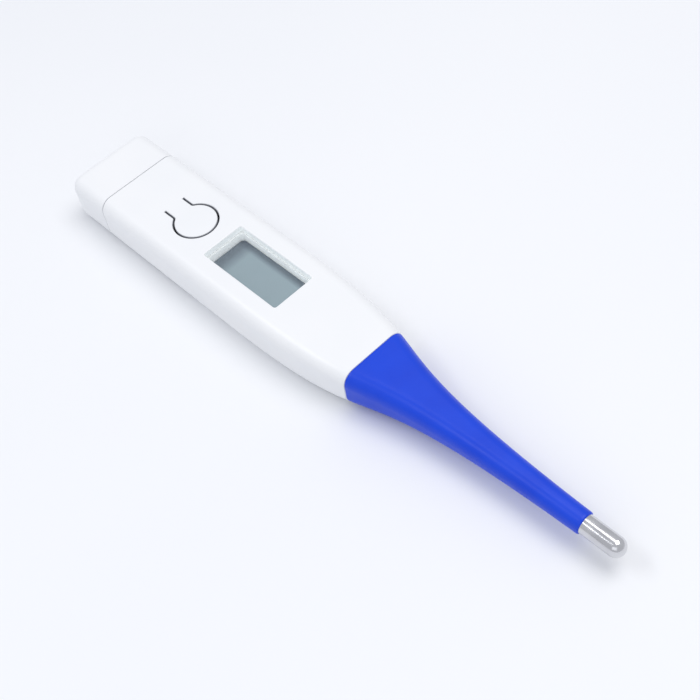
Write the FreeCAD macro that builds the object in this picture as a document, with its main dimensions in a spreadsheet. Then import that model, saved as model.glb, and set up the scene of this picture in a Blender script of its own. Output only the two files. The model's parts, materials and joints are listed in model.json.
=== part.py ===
"""Digital stick thermometer with a flexible tip.

The housing lies on its back, display up (+Z), with the metal tip towards +X.
Every piece is drawn along "stations": X measured from the head end, Y from the
middle plane, Z from the flat underside. Its Placement then brings the middle of
the overall length to the origin.
"""

import FreeCAD, Part
import math
import os
import re

import Sketcher
from FreeCAD import Placement, Rotation, Vector

# Driving dimensions: millimetres, and degrees where the name says angle.
SIZES = {
    # outer shape
    "overall_length": 138.0,
    "body_width": 20.0,
    "body_height": 10.6,
    "corner_share_head": 0.53,
    "corner_share_tip": 0.95,
    "stem_tip_width": 4.3,
    "stem_tip_height": 4.3,
    "taper_start": 50.0,
    "stem_end_station": 130.0,
    # handles of the two taper curves: how far they reach, and how steeply they leave the tip
    "plan_shoulder_reach": 46.0,
    "plan_tip_reach": 59.0,
    "plan_tip_rise": 1.2,
    "side_shoulder_reach": 40.0,
    "side_tip_reach": 47.0,
    "side_tip_rise": 0.55,
    # housing
    "wall": 1.4,
    "fit_gap": 0.05,
    "housing_end": 81.0,
    "cavity_end": 78.5,
    "nose_end": 89.0,
    "nose_inset": 1.6,
    "nose_bore_radius": 1.3,
    "nose_gap": 0.03,
    # battery cover
    "cover_length": 11.5,
    "cover_edge_radius": 2.4,
    "cover_end_wall": 1.5,
    "spigot_length": 6.0,
    "spigot_wall": 1.08,
    "hollow_corner": 0.6,
    "seal_station": 14.6,
    "seal_wire_radius": 0.36,
    "seal_groove_depth": 0.72,
    "seal_groove_width": 0.9,
    "grip_width": 0.8,
    "grip_depth": 0.3,
    "grip_length": 11.0,
    "grip_pitch": 1.8,
    "grip_count": 4,
    "grip_start": 3.4,
    # battery and tray
    "battery_station": 10.0,
    "battery_radius": 3.95,
    "battery_height": 3.6,
    "battery_cap_radius": 3.35,
    "battery_cap_height": 0.5,
    "battery_edge": 0.25,
    "tray_start": 4.0,
    "tray_length": 13.5,
    "tray_width": 12.4,
    "tray_height": 3.2,
    "tray_corner": 1.5,
    "tray_lip_thickness": 1.2,
    "tray_lip_width": 8.0,
    "tray_lip_top": 7.7,
    # circuit board and its frame
    "frame_start": 20.5,
    "frame_length": 42.5,
    "frame_top_gap": 0.15,
    "frame_width": 16.0,
    "frame_bottom": 2.6,
    "frame_side": 0.9,
    "frame_chamfer": 0.8,
    "frame_arm_start": 13.0,
    "frame_arm_thickness": 1.1,
    "frame_arm_bottom": 3.9,
    "frame_arm_top": 6.9,
    "frame_arm_overlap": 1.5,
    "tray_side_gap": 0.1,
    "board_start": 20.0,
    "board_length": 46.0,
    "board_width": 14.7,
    "board_bottom": 3.0,
    "board_thickness": 0.8,
    "board_hole_radius": 0.6,
    "board_hole_inset": 1.1,
    "board_gap": 0.03,
    # display and window
    "window_station": 49.7,
    "window_length": 21.0,
    "window_width": 9.8,
    "window_corner": 0.5,
    "window_ledge": 0.3,
    "lens_thickness": 1.4,
    "bezel_bottom": 7.1,
    "film_gap": 0.02,
    "film_thickness": 0.2,
    "glass_thickness": 0.7,
    "glass_length": 24.0,
    "glass_width": 12.6,
    "rear_glass_width": 10.4,
    "film_length": 22.6,
    "contact_ledge": 2.2,
    "zebra_width": 1.5,
    "zebra_length": 22.0,
    "cushion_length": 18.0,
    "cushion_width": 7.0,
    # power button
    "button_station": 31.0,
    "button_radius": 4.4,
    "button_slot": 0.4,
    "button_neck_half": 2.2,
    "button_hinge_station": 24.0,
    "button_thickness": 1.1,
    "button_notch_radius": 0.8,
    "button_edge": 0.2,
    "edge_break": 0.2,
    "seal_sheet_radius": 5.8,
    "seal_sheet_thickness": 0.5,
    "shelf_thickness": 0.9,
    "shelf_pocket_radius": 6.0,
    "plunger_radius": 1.6,
    "plunger_flange_radius": 2.4,
    "plunger_foot_radius": 1.0,
    "plunger_bottom": 4.42,
    "plunger_flange_bottom": 5.2,
    "plunger_flange_top": 5.8,
    "plunger_shoulder": 9.25,
    "plunger_top": 9.48,
    "dome_radius": 2.6,
    "dome_height": 0.5,
    "dome_sheet": 0.12,
    # electronics
    "chip_station": 48.0,
    "chip_radius": 3.2,
    "chip_height": 1.1,
    "chip_round": 0.9,
    "component_station": 63.2,
    "component_length": 0.9,
    "component_width": 1.6,
    "component_height": 0.6,
    "component_pitch": 2.8,
    "component_count": 4,
    "buzzer_station": 27.5,
    "buzzer_radius": 6.0,
    "ceramic_radius": 4.5,
    "buzzer_sheet": 0.2,
    "coil_radius": 1.0,
    "coil_wire_radius": 0.1,
    "coil_turns": 2.5,
    "coil_gap": 0.02,
    "contact_sheet": 0.2,
    "contact_width": 3.0,
    "contact_arm_start": 7.0,
    "contact_leg_end": 23.5,
    "positive_riser": 19.7,
    "negative_riser": 18.7,
    "contact_gap": 0.02,
    # flexible stem, wires and sensor
    "hinge_count": 9,
    "hinge_first": 94.0,
    "hinge_pitch": 3.75,
    "bend_angle": 14.0,
    "sway_angle": 9.0,
    "bend_spare_angle": 2.0,
    "knuckle_radius": 1.5,
    "knuckle_gap": 0.05,
    "core_radius": 0.8,
    "wire_radius": 0.2,
    "wire_offset": 0.35,
    "wire_start": 62.0,
    "wire_rise_start": 66.6,
    "wire_rise_end": 71.0,
    "wire_end": 134.85,
    "cap_radius": 1.9,
    "cap_root_radius": 1.7,
    "cap_bore_radius": 1.5,
    "cap_root_length": 3.4,
    "cap_gap": 0.01,
    "bead_station": 135.4,
    "bead_radius": 0.6,
    "potting_start": 131.0,
    "potting_gap": 0.02,
}

SIDEWAYS_EVERY = 4  # every fourth stem hinge bends sideways, the others bend up and down
LOFT_STEPS = 16
REACH = 30.0  # half size of cutting blocks, larger than any section
SPARE = 1.0  # how far a cutting shape runs past what it cuts

doc = FreeCAD.newDocument("thermometer")


def fill_sheet():
    """The spreadsheet of driving dimensions, one named row each."""
    sizes = doc.addObject("Spreadsheet::Sheet", "sizes")
    for row, (alias, number) in enumerate(SIZES.items(), start=1):
        sizes.set(f"A{row}", alias)
        sizes.set(f"B{row}", str(number))
        sizes.setAlias(f"B{row}", alias)
    doc.recompute()
    return sizes


sheet = fill_sheet()


def bound(text):
    """An expression in plain aliases, with each alias pointed at the spreadsheet."""
    return re.sub(r"[a-z][a-z_]+", lambda m: f"sizes.{m[0]}" if m[0] in SIZES else m[0], text)


def value(text):
    """The number that an expression stands for now."""
    return float(sheet.evalExpression(bound(text)))


def bind(item, **fields):
    """Bind properties to expressions; x, y and z mean the placement."""
    if "x" in fields:
        STATIONS[item.Name] = fields["x"]
    for field, text in fields.items():
        path = f"Placement.Base.{field}" if field in ("x", "y", "z") else field
        item.setExpression(path, bound(text))
    return item


def finish_node(item, label):
    """Name a finished sub-part and bring it from stations to the part's own frame."""
    item.Label = label
    bind(item, x=f"{STATIONS.get(item.Name, '0')} - overall_length / 2")
    NODES.append(item)
    return item


NODES = []
STATIONS = {}  # object name to the expression of its own station, where it has one
MIDDLE = "body_height / 2"
FRAME_TOP = "body_height - wall - frame_top_gap"
BOARD_TOP = "board_bottom + board_thickness"
GLASS_TOP = "bezel_bottom - film_gap - film_thickness"


# ---------------------------------------------------------------- Part helpers


def block(name, start, length, width, bottom, height, across="0"):
    """A box between two stations, centred sideways on `across`."""
    item = doc.addObject("Part::Box", name)
    return bind(
        item, Length=length, Width=width, Height=height,
        x=start, y=f"{across} - ({width}) / 2", z=bottom,
    )


def upright(name, station, radius, bottom, height, across="0"):
    """A cylinder standing along Z."""
    item = doc.addObject("Part::Cylinder", name)
    return bind(item, Radius=radius, Height=height, x=station, y=across, z=bottom)


def lengthwise(name, start, radius, length, across="0"):
    """A cylinder lying along X at middle height."""
    item = doc.addObject("Part::Cylinder", name)
    item.Placement = Placement(Vector(), Rotation(Vector(0, 1, 0), 90))
    return bind(item, Radius=radius, Height=length, x=start, y=across, z=MIDDLE)


def ball(name, station, radius, height=MIDDLE):
    item = doc.addObject("Part::Sphere", name)
    return bind(item, Radius=radius, x=station, z=height)


def cut(name, base, tool):
    item = doc.addObject("Part::Cut", name)
    item.Base, item.Tool = base, tool
    return item


def fuse(name, shapes):
    item = doc.addObject("Part::MultiFuse", name)
    item.Shapes = shapes
    return item


def round_edges(name, base, radius, wanted, kind="Part::Fillet"):
    """Fillet or chamfer the edges of `base` for which wanted(edge) is true."""
    doc.recompute()
    item = doc.addObject(kind, name)
    item.Base = base
    size = value(radius)
    item.Edges = [(i, size, size) for i, edge in enumerate(base.Shape.Edges, 1) if wanted(edge)]
    return item


def along(edge, axis):
    """Whether a straight edge runs along an axis."""
    return isinstance(edge.Curve, Part.Line) and edge.Curve.Direction.cross(axis).Length < 1e-6


# ---------------------------------------------------------- PartDesign helpers


def new_body(name):
    return doc.addObject("PartDesign::Body", name)


def new_sketch(body, name, role, offset="0"):
    """A sketch on one of the body's own origin planes, moved along its normal."""
    plane = next(f for f in body.Origin.OriginFeatures if f.Role == role)
    sketch = body.newObject("Sketcher::SketchObject", name)
    sketch.AttachmentSupport = (plane, [""])
    sketch.MapMode = "FlatFace"
    sketch.setExpression("AttachmentOffset.Base.z", bound(offset))
    return sketch


def place(sketch, geometry, point, across, up):
    """Hold one point of the sketch at a place given by two expressions."""
    for kind, text in (("DistanceX", across), ("DistanceY", up)):
        index = sketch.addConstraint(
            Sketcher.Constraint(kind, -1, 1, geometry, point, value(text))
        )
        sketch.setExpression(f"Constraints[{index}]", bound(text))


def add_circle(sketch, across, up, radius):
    centre = Vector(value(across), value(up), 0)
    index = sketch.addGeometry(Part.Circle(centre, Vector(0, 0, 1), value(radius)), False)
    place(sketch, index, 3, across, up)
    size = sketch.addConstraint(Sketcher.Constraint("Radius", index, value(radius)))
    sketch.setExpression(f"Constraints[{size}]", bound(radius))


def add_outline(sketch, points):
    """A closed outline of straight sides through (across, up) pairs."""
    corners = [Vector(value(across), value(up), 0) for across, up in points]
    first = sketch.GeometryCount
    count = len(corners)
    for i in range(count):
        sketch.addGeometry(Part.LineSegment(corners[i], corners[(i + 1) % count]), False)
    for i, (across, up) in enumerate(points):
        previous = first + (i - 1) % count
        sketch.addConstraint(Sketcher.Constraint("Coincident", previous, 2, first + i, 1))
        place(sketch, first + i, 1, across, up)


def add_rounded_rectangle(sketch, across, up, width, height, radius):
    """A rectangle with four equal round corners, centred on (across, up)."""
    size = value(radius)
    half_width, half_height = value(width) / 2 - size, value(height) / 2 - size
    middle = Vector(value(across), value(up), 0)
    first = sketch.GeometryCount
    signs = ((1, 1), (-1, 1), (-1, -1), (1, -1))
    centres = [middle + Vector(sx * half_width, sy * half_height, 0) for sx, sy in signs]
    for i, centre in enumerate(centres):
        circle = Part.Circle(centre, Vector(0, 0, 1), size)
        quarter = math.pi / 2
        sketch.addGeometry(Part.ArcOfCircle(circle, i * quarter, (i + 1) * quarter), False)
    for i, centre in enumerate(centres):
        outward = Rotation(Vector(0, 0, 1), 90 * (i + 1)).multVec(Vector(size, 0, 0))
        following = centres[(i + 1) % 4]
        sketch.addGeometry(Part.LineSegment(centre + outward, following + outward), False)
    for i, (sx, sy) in enumerate(signs):
        arc, line = first + i, first + 4 + i
        sketch.addConstraint(Sketcher.Constraint("Tangent", arc, 2, line, 1))
        sketch.addConstraint(Sketcher.Constraint("Tangent", line, 2, first + (i + 1) % 4, 1))
        place(
            sketch, arc, 3,
            f"{across} + {sx} * (({width}) / 2 - ({radius}))",
            f"{up} + {sy} * (({height}) / 2 - ({radius}))",
        )
        index = sketch.addConstraint(Sketcher.Constraint("Radius", arc, size))
        sketch.setExpression(f"Constraints[{index}]", bound(radius))


def pad(body, sketch, length, name, both_ways=False):
    feature = body.newObject("PartDesign::Pad", name)
    feature.Profile = sketch
    feature.Midplane = both_ways
    feature.setExpression("Length", bound(length))
    return feature


def pocket(body, sketch, depth, name, both_ways=False, flip=False):
    """Cut along a depth, and check that something was removed."""
    doc.recompute()
    before = body.Shape.Volume
    feature = body.newObject("PartDesign::Pocket", name)
    feature.Profile = sketch
    feature.Midplane = both_ways
    feature.Reversed = flip
    feature.setExpression("Length", bound(depth))
    doc.recompute()
    if not body.Shape.Volume < before - 1e-6:
        raise RuntimeError(f"{name} removed nothing")
    return feature


def fillet(body, base, radius, wanted, name):
    doc.recompute()
    feature = body.newObject("PartDesign::Fillet", name)
    edges = [f"Edge{i}" for i, edge in enumerate(base.Shape.Edges, 1) if wanted(edge)]
    feature.Base = (base, edges)
    feature.setExpression("Radius", bound(radius))
    return feature


def revolve(body, sketch, name, axis="H_Axis"):
    feature = body.newObject("PartDesign::Revolution", name)
    feature.Profile = sketch
    feature.ReferenceAxis = (sketch, [axis])
    feature.Angle = 360.0
    return feature


# ------------------------------------------------------------ tapered sections


def curve_height(station, reach_in, reach_out, start_height, end_height, rise):
    """Height at a station of a cubic curve that leaves the shoulder level."""
    x0, x3 = value("taper_start"), value("stem_end_station")
    if station <= x0:
        return start_height
    xs = (x0, x0 + reach_in, x3 - reach_out, x3)
    heights = (start_height, start_height, end_height + rise, end_height)

    def bezier(points, share):
        rest = 1 - share
        a, b, c, d = points
        return (
            rest**3 * a + 3 * rest**2 * share * b + 3 * rest * share**2 * c + share**3 * d
        )

    low, high = 0.0, 1.0
    for _ in range(60):
        share = (low + high) / 2
        if bezier(xs, share) < station:
            low = share
        else:
            high = share
    return bezier(heights, share)


def half_width(station):
    return curve_height(
        station, value("plan_shoulder_reach"), value("plan_tip_reach"),
        value("body_width / 2"), value("stem_tip_width / 2"), value("plan_tip_rise"),
    )


def half_height(station):
    return curve_height(
        station, value("side_shoulder_reach"), value("side_tip_reach"),
        value("body_height / 2"), value("stem_tip_height / 2"), value("side_tip_rise"),
    )


def corner_radius(station):
    """Corners are small against the height at the head and nearly round at the tip."""
    tall, short = value("body_height / 2"), value("stem_tip_height / 2")
    here = half_height(station)
    progress = (tall - here) / (tall - short)
    head, tip = value("corner_share_head"), value("corner_share_tip")
    return here * (head + (tip - head) * progress)


def section_wire(station, inset):
    """The rounded cross-section at a station, moved inwards by inset."""
    wide, tall = half_width(station) - inset, half_height(station) - inset
    radius = max(corner_radius(station) - inset, 0.3)
    middle = value(MIDDLE)
    arcs = []
    for turn, (sy, sz) in enumerate(((1, 1), (-1, 1), (-1, -1), (1, -1))):
        centre = Vector(station, sy * (wide - radius), middle + sz * (tall - radius))
        start = math.radians(90 * turn)
        points = [
            centre + Vector(0, radius * math.cos(start + turned), radius * math.sin(start + turned))
            for turned in (0, math.pi / 4, math.pi / 2)
        ]
        arcs.append(Part.Arc(*points).toShape())
    sides = []
    for arc, following in zip(arcs, arcs[1:] + arcs[:1]):
        ends = arc.Vertexes[-1].Point, following.Vertexes[0].Point
        sides += [arc, Part.LineSegment(*ends).toShape()]
    return Part.Wire(sides)


def tapered(start, end, inset=0.0):
    """The outer form between two stations, moved inwards by inset: straight, then tapering."""
    pieces = []
    straight_end = min(end, value("taper_start"))
    if start < straight_end:
        face = Part.Face(section_wire(start, inset))
        pieces.append(face.extrude(Vector(straight_end - start, 0, 0)))
    if end > straight_end:
        begin = max(start, straight_end)
        steps = max(3, round(LOFT_STEPS * (end - begin) / (value("stem_end_station") - begin)))
        stations = [begin + (end - begin) * i / steps for i in range(steps + 1)]
        wires = [section_wire(station, inset) for station in stations]
        pieces.append(Part.makeLoft(wires, True, False))
    return pieces[0].fuse(pieces[1:]) if len(pieces) > 1 else pieces[0]


def shaped(name, shape):
    """A document object for a form that only Part's own functions can make."""
    item = doc.addObject("Part::Feature", name)
    item.Shape = shape
    return item


# --------------------------------------------------------------------- housing


def is_opening_rim(edge):
    """Whether an edge of the housing's top runs round an opening, away from the tab's root."""
    box, reach = edge.BoundBox, value("window_width / 2") + 1e-6
    inside = -reach < box.YMin and box.YMax < reach
    past_root = box.XMax > value("button_hinge_station") + 1e-6
    return inside and past_root and box.ZMin > value("body_height") - 1e-6


def is_end_outline(edge, station):
    """Whether an edge lies in the outer outline at a station."""
    box, middle = edge.BoundBox, value(MIDDLE)
    if abs(box.XMin - station) > 1e-6 or abs(box.XMax - station) > 1e-6:
        return False
    sideways = max(box.YMax, -box.YMin) / half_width(station)
    upward = max(box.ZMax - middle, middle - box.ZMin) / half_height(station)
    return max(sideways, upward) > 1 - 1e-6


def make_housing():
    """White one-piece shell, open at the head, with a nose that the stem is moulded over."""
    start, end = value("cover_length + fit_gap"), value("housing_end")
    nose_end = value("nose_end")
    shell = tapered(start, end)
    nose = tapered(end - SPARE, nose_end, value("nose_inset"))
    cavity = tapered(start - SPARE, value("cavity_end"), value("wall"))
    bore = Part.makeCylinder(
        value("nose_bore_radius"), nose_end, Vector(start, 0, value(MIDDLE)), Vector(1, 0, 0)
    )
    blank = shaped("housing_blank", shell.fuse(nose).cut(cavity).cut(bore).removeSplitter())
    far_from_root = value("button_hinge_station") + SPARE
    reach = f"wall + 2 * {SPARE}"
    floor = f"body_height - wall - {SPARE}"
    slab = block(
        "window_slab", "window_station - window_length / 2", "window_length",
        "window_width", floor, reach,
    )
    window = round_edges(
        "window_cutter", slab, "window_corner", lambda edge: along(edge, Vector(0, 0, 1))
    )
    disc = upright("slot_disc", "button_station", "button_radius + button_slot", floor, reach)
    neck = block(
        "slot_neck", "button_hinge_station", "button_station - button_hinge_station",
        "2 * (button_neck_half + button_slot)", floor, reach,
    )
    keyhole = round_edges(
        "keyhole_cutter", fuse("keyhole", [disc, neck]), "button_notch_radius - button_slot",
        lambda edge: along(edge, Vector(0, 0, 1)) and edge.BoundBox.XMin > far_from_root,
    )
    opened = cut("housing_opened", blank, fuse("housing_cutters", [window, keyhole]))
    softened = round_edges(
        "housing_softened", opened, "edge_break",
        lambda edge: is_opening_rim(edge) or is_end_outline(edge, start) or is_end_outline(edge, end),
    )
    finish_node(softened, "housing")


def make_lens():
    """Clear window, bonded flush into the opening above the display."""
    body = new_body("lens_body")
    outline = new_sketch(body, "lens_outline", "XY_Plane", FRAME_TOP)
    add_rounded_rectangle(
        outline, "window_station", "0",
        "window_length - 2 * fit_gap", "window_width - 2 * fit_gap", "window_corner - fit_gap",
    )
    pad(body, outline, "lens_thickness", "lens_pad")
    finish_node(body, "window_lens")


# --------------------------------------------------------- battery cover group


SPIGOT_WIDTH = "body_width - 2 * wall - 2 * fit_gap"
SPIGOT_HEIGHT = "body_height - 2 * wall - 2 * fit_gap"
SPIGOT_CORNER = "corner_share_head * body_height / 2 - wall - fit_gap"


def make_cover():
    """Pull-off end cap: hollow, with a sealing groove around its spigot."""
    body = new_body("cover_body")
    outside = new_sketch(body, "cover_outline", "YZ_Plane")
    add_rounded_rectangle(
        outside, "0", MIDDLE, "body_width", "body_height", "corner_share_head * body_height / 2"
    )
    shell = pad(body, outside, "cover_length", "cover_pad")
    rounded = fillet(
        body, shell, "cover_edge_radius",
        lambda edge: all(abs(v.X) < 1e-6 for v in edge.Vertexes), "cover_rounding",
    )
    parting = value("cover_length")
    fillet(
        body, rounded, "edge_break",
        lambda edge: all(abs(v.X - parting) < 1e-6 for v in edge.Vertexes), "cover_parting",
    )
    spigot = new_sketch(body, "spigot_outline", "YZ_Plane", "cover_length")
    add_rounded_rectangle(spigot, "0", MIDDLE, SPIGOT_WIDTH, SPIGOT_HEIGHT, SPIGOT_CORNER)
    pad(body, spigot, "spigot_length", "spigot_pad")
    hollow = new_sketch(body, "hollow_outline", "YZ_Plane", "cover_length + spigot_length")
    add_rounded_rectangle(
        hollow, "0", MIDDLE,
        f"{SPIGOT_WIDTH} - 2 * spigot_wall", f"{SPIGOT_HEIGHT} - 2 * spigot_wall",
        "hollow_corner",
    )
    pocket(body, hollow, "cover_length + spigot_length - cover_end_wall", "hollow_pocket")
    ring = new_sketch(body, "groove_outline", "YZ_Plane", "seal_station + seal_groove_width / 2")
    add_rounded_rectangle(
        ring, "0", MIDDLE,
        f"{SPIGOT_WIDTH} + 2 * {SPARE}", f"{SPIGOT_HEIGHT} + 2 * {SPARE}", f"{SPIGOT_CORNER} + {SPARE}",
    )
    add_rounded_rectangle(
        ring, "0", MIDDLE,
        f"{SPIGOT_WIDTH} - 2 * seal_groove_depth", f"{SPIGOT_HEIGHT} - 2 * seal_groove_depth",
        f"{SPIGOT_CORNER} - seal_groove_depth",
    )
    pocket(body, ring, "seal_groove_width", "groove_pocket")
    for i in range(int(value("grip_count"))):
        rib = new_sketch(body, f"grip_outline_{i}", "XY_Plane")
        low, high = f"grip_start + {i} * grip_pitch", f"grip_start + {i} * grip_pitch + grip_width"
        add_outline(
            rib,
            [(low, "-grip_length / 2"), (high, "-grip_length / 2"),
             (high, "grip_length / 2"), (low, "grip_length / 2")],
        )
        pocket(body, rib, "grip_depth", f"grip_pocket_{i}", flip=True)
    finish_node(body, "battery_cover")


def make_cover_seal():
    """Rubber ring of round section in the cover's groove."""
    body = new_body("seal_body")
    centre = "seal_groove_depth - seal_wire_radius"
    spine = new_sketch(body, "seal_spine", "YZ_Plane", "seal_station")
    add_rounded_rectangle(
        spine, "0", MIDDLE,
        f"{SPIGOT_WIDTH} - 2 * ({centre})", f"{SPIGOT_HEIGHT} - 2 * ({centre})",
        f"{SPIGOT_CORNER} - ({centre})",
    )
    section = new_sketch(body, "seal_section", "XY_Plane", MIDDLE)
    add_circle(section, "seal_station", f"({SPIGOT_WIDTH}) / 2 - ({centre})", "seal_wire_radius")
    ring = body.newObject("PartDesign::AdditivePipe", "seal_pipe")
    ring.Profile = section
    ring.Spine = (spine, [f"Edge{i + 1}" for i in range(8)])
    finish_node(body, "cover_seal")


def make_tray():
    """Sliding tray with a round pocket for the battery and a lip to pull it by."""
    body = new_body("tray_body")
    bottom = f"{MIDDLE} - tray_height / 2"
    plate = new_sketch(body, "tray_outline", "XY_Plane", bottom)
    add_rounded_rectangle(
        plate, "tray_start + tray_length / 2", "0", "tray_length", "tray_width", "tray_corner"
    )
    pad(body, plate, "tray_height", "tray_pad")
    lip = new_sketch(body, "lip_outline", "XY_Plane", bottom)
    low, high = "tray_start", "tray_start + tray_lip_thickness"
    add_outline(
        lip,
        [(low, "-tray_lip_width / 2"), (high, "-tray_lip_width / 2"),
         (high, "tray_lip_width / 2"), (low, "tray_lip_width / 2")],
    )
    pad(body, lip, f"tray_lip_top - ({bottom})", "lip_pad")
    hole = new_sketch(body, "tray_hole", "XY_Plane", bottom)
    add_circle(hole, "battery_station", "0", "battery_radius + fit_gap")
    pocket(body, hole, "tray_height", "tray_pocket", flip=True)
    finish_node(body, "battery_tray")


def make_battery():
    """Button cell: a wide can over a narrower cap."""
    bottom = f"{MIDDLE} - battery_height / 2"
    cap = upright("cell_cap", "battery_station", "battery_cap_radius", bottom, "battery_height / 2")
    can = upright(
        "cell_can", "battery_station", "battery_radius",
        f"{bottom} + battery_cap_height", "battery_height - battery_cap_height",
    )
    joined = fuse("cell_joined", [cap, can])
    top = value(f"{MIDDLE} + battery_height / 2")
    rounded = round_edges(
        "cell_rounded", joined, "battery_edge",
        lambda edge: abs(edge.BoundBox.ZMin - top) < 1e-6 and abs(edge.BoundBox.ZMax - top) < 1e-6,
    )
    finish_node(rounded, "battery")


# ------------------------------------------------------ circuit frame and board


def make_frame():
    """Inverted channel that carries the board, frames the display and guides the tray."""
    top = FRAME_TOP
    body = new_body("frame_body")
    profile = new_sketch(body, "frame_profile", "YZ_Plane", "frame_start")
    half, inner = "frame_width / 2", "frame_width / 2 - frame_side"
    slot = "board_width / 2 + board_gap"
    left = [
        (half, "frame_bottom"), (half, f"{top} - frame_chamfer"), (f"{half} - frame_chamfer", top),
    ]
    right = [(f"-({across})", up) for across, up in reversed(left)]
    inside = [
        (inner, "bezel_bottom"), (inner, f"{BOARD_TOP} + board_gap"),
        (slot, f"{BOARD_TOP} + board_gap"), (slot, "board_bottom - board_gap"),
        (inner, "board_bottom - board_gap"), (inner, "frame_bottom"),
    ]
    outside_inner = [(f"-({across})", up) for across, up in reversed(inside)]
    add_outline(profile, left + right + outside_inner + inside)
    pad(body, profile, "frame_length", "frame_pad")
    opening = new_sketch(body, "bezel_outline", "XY_Plane", top)
    add_rounded_rectangle(
        opening, "window_station", "0",
        "window_length - 2 * window_ledge", "window_width - 2 * window_ledge", "2 * window_corner",
    )
    pocket(body, opening, f"{top} - bezel_bottom", "bezel_pocket")
    shelf = new_sketch(body, "shelf_outline", "XY_Plane", top)
    add_circle(shelf, "button_station", "0", "shelf_pocket_radius")
    pocket(body, shelf, f"{top} - bezel_bottom - shelf_thickness", "shelf_pocket")
    guide = new_sketch(body, "guide_outline", "XY_Plane", top)
    add_circle(guide, "button_station", "0", "plunger_radius + fit_gap")
    pocket(body, guide, f"{top} - bezel_bottom", "guide_pocket")
    for side, name in ((1, "left"), (-1, "right")):
        arm = new_sketch(body, f"arm_outline_{name}", "XY_Plane", "frame_arm_bottom")
        near = f"{side} * (tray_width / 2 + tray_side_gap)"
        far = f"{side} * (tray_width / 2 + tray_side_gap + frame_arm_thickness)"
        add_outline(
            arm,
            [("frame_arm_start", near), ("frame_start + frame_arm_overlap", near),
             ("frame_start + frame_arm_overlap", far), ("frame_arm_start", far)],
        )
        pad(body, arm, "frame_arm_top - frame_arm_bottom", f"arm_pad_{name}")
    finish_node(body, "circuit_frame")


def make_board():
    """Circuit board with two locating holes."""
    body = new_body("board_body")
    outline = new_sketch(body, "board_outline", "XY_Plane", "board_bottom")
    add_rounded_rectangle(
        outline, "board_start + board_length / 2", "0", "board_length", "board_width", "0.5"
    )
    pad(body, outline, "board_thickness", "board_pad")
    holes = new_sketch(body, "board_holes", "XY_Plane", "board_bottom")
    for side in (1, -1):
        add_circle(
            holes, "board_start + board_length - board_hole_inset", f"{side} * board_width / 3",
            "board_hole_radius",
        )
    pocket(body, holes, "board_thickness", "board_pocket", flip=True)
    finish_node(body, "circuit_board")


def make_display():
    """Film, glass, glass and reflector, with the contact strip and cushion under them."""
    middle = "window_station"

    def layer(label, length, width, top, thickness, across="0"):
        start = f"{middle} - ({length}) / 2"
        item = block(f"{label}_layer", start, length, width, f"{top} - ({thickness})", thickness, across)
        finish_node(item, label)

    ledge = "contact_ledge / 2"
    rear_top = f"{GLASS_TOP} - glass_thickness"
    reflector_top = f"{rear_top} - glass_thickness"
    layer("display_polariser", "film_length", "rear_glass_width", "bezel_bottom - film_gap",
          "film_thickness")
    layer("display_front_glass", "glass_length", "glass_width", GLASS_TOP, "glass_thickness")
    layer("display_rear_glass", "glass_length", "rear_glass_width", rear_top, "glass_thickness", ledge)
    layer("display_reflector", "film_length", "rear_glass_width", reflector_top,
          "film_thickness", ledge)
    layer("zebra_connector", "zebra_length", "zebra_width", rear_top,
          f"{rear_top} - ({BOARD_TOP})", "-(glass_width - contact_ledge) / 2")
    layer("display_cushion", "cushion_length", "cushion_width", f"{reflector_top} - film_thickness",
          f"{reflector_top} - film_thickness - ({BOARD_TOP})", ledge)


# ---------------------------------------------------------------- power button


def make_button():
    """Tab cut from the housing's top: a round pad on a short neck that bends at its root."""
    bottom = "body_height - button_thickness"
    disc = upright("button_disc", "button_station", "button_radius", bottom, "button_thickness")
    neck = block(
        "button_neck", "button_hinge_station + fit_gap",
        "button_station - button_hinge_station - fit_gap",
        "2 * button_neck_half", bottom, "button_thickness",
    )
    joined = fuse("button_joined", [disc, neck])
    far_from_root = value("button_hinge_station") + SPARE
    notched = round_edges(
        "button_notched", joined, "button_notch_radius",
        lambda edge: along(edge, Vector(0, 0, 1)) and far_from_root < edge.BoundBox.XMin,
    )
    top = value("body_height")
    root = value("button_hinge_station + fit_gap")
    softened = round_edges(
        "button_softened", notched, "button_edge",
        lambda edge: edge.BoundBox.ZMin > top - 1e-6 and edge.BoundBox.XMax > root + 1e-6,
    )
    finish_node(softened, "button_tab")


def make_button_seal():
    """Rubber sheet on the frame's shelf, wiping the plunger's stem."""
    bottom = "bezel_bottom + shelf_thickness"
    sheet_disc = upright("sheet_disc", "button_station", "seal_sheet_radius", bottom, "seal_sheet_thickness")
    opening = upright(
        "sheet_opening", "button_station", "plunger_radius + fit_gap", bottom, "seal_sheet_thickness"
    )
    finish_node(cut("sheet_ring", sheet_disc, opening), "button_seal")


def make_plunger():
    """Round pusher between the tab and the switch dome, kept in by its flange."""
    body = new_body("plunger_body")
    profile = new_sketch(body, "plunger_profile", "XZ_Plane")
    add_outline(
        profile,
        [("0", "plunger_bottom"), ("plunger_foot_radius", "plunger_bottom"),
         ("plunger_foot_radius", "plunger_flange_bottom"),
         ("plunger_flange_radius", "plunger_flange_bottom"),
         ("plunger_flange_radius", "plunger_flange_top"),
         ("plunger_radius", "plunger_flange_top"), ("plunger_radius", "plunger_shoulder"),
         ("0", "plunger_top")],
    )
    revolve(body, profile, "plunger_turn", "V_Axis")
    bind(body, x="button_station")
    finish_node(body, "button_plunger")


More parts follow.
